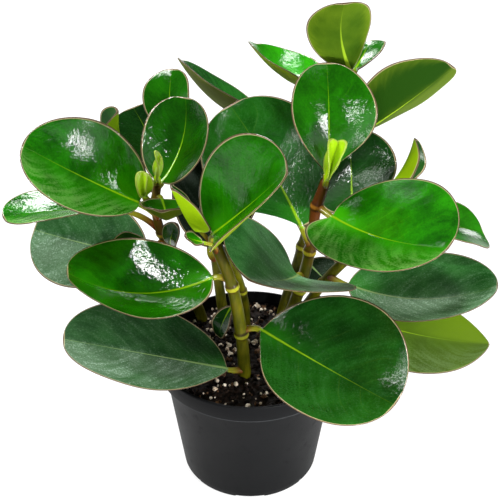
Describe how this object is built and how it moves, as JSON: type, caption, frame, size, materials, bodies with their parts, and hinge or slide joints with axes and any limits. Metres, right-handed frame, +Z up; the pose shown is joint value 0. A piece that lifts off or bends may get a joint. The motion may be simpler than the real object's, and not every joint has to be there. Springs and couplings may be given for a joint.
{
  "type": "potted peperomia",
  "caption": "Bushy potted plant with thick, glossy, spoon-shaped green leaves on jointed stems, in a round tapered nursery pot filled with soil.",
  "frame": {"origin": "centre of the pot's base, on the surface that it stands on", "axes": "+Z up along the pot axis, +X to the right and +Y away, seen from the front of the plant"},
  "size_m": [0.2727, 0.2038, 0.2813],
  "materials": {
    "pot": "satin charcoal",
    "soil": "crumbly, matt, dark brown",
    "stem": "smooth, olive green with reddish joints",
    "leaf_glossy": "glossy, waxy, mid green",
    "leaf_deep": "glossy, waxy, dark green",
    "leaf_dull": "satin, dark greyish green",
    "leaf_young": "satin, bright yellow-green",
    "leaf_pale": "satin, yellow-green"
  },
  "bodies": {
    "root": {"pot": "pot", "soil": "soil", "stem_front": "stem", "stem_left": "stem", "stem_back_left": "stem", "stem_slim": "stem", "stem_middle": "stem", "stem_tall": "stem", "stem_right": "stem", "leaf_front_low": "leaf_dull", "leaf_front_right": "leaf_deep", "leaf_front_left": "leaf_glossy", "leaf_front_spoon": "leaf_glossy", "leaf_front_young": "leaf_young", "leaf_front_small": "leaf_glossy", "leaf_left_glossy": "leaf_glossy", "leaf_left_far": "leaf_glossy", "leaf_left_dull": "leaf_dull", "leaf_left_upright": "leaf_glossy", "leaf_left_shelf": "leaf_glossy", "leaf_left_shade": "leaf_deep", "leaf_left_flat": "leaf_deep", "leaf_back_left_top": "leaf_glossy", "leaf_back_left_dark": "leaf_deep", "leaf_back_left_tall": "leaf_dull", "leaf_back_left_small": "leaf_young", "leaf_slim_sprout": "leaf_deep", "leaf_middle_round": "leaf_deep", "leaf_middle_top": "leaf_glossy", "leaf_middle_right": "leaf_glossy", "leaf_middle_viewer": "leaf_dull", "leaf_tall_crown": "leaf_pale", "leaf_tall_behind": "leaf_glossy", "leaf_tall_left": "leaf_glossy", "leaf_tall_right": "leaf_pale", "leaf_tall_edge": "leaf_deep", "leaf_tall_low": "leaf_dull", "leaf_right_shade": "leaf_deep", "leaf_right_young": "leaf_young", "leaf_right_tip": "leaf_glossy", "leaf_right_long": "leaf_dull", "leaf_right_low": "leaf_pale", "bud_middle": "leaf_young", "bud_left_high": "leaf_young", "bud_left_low": "leaf_young"}
  },
  "joints": []
}
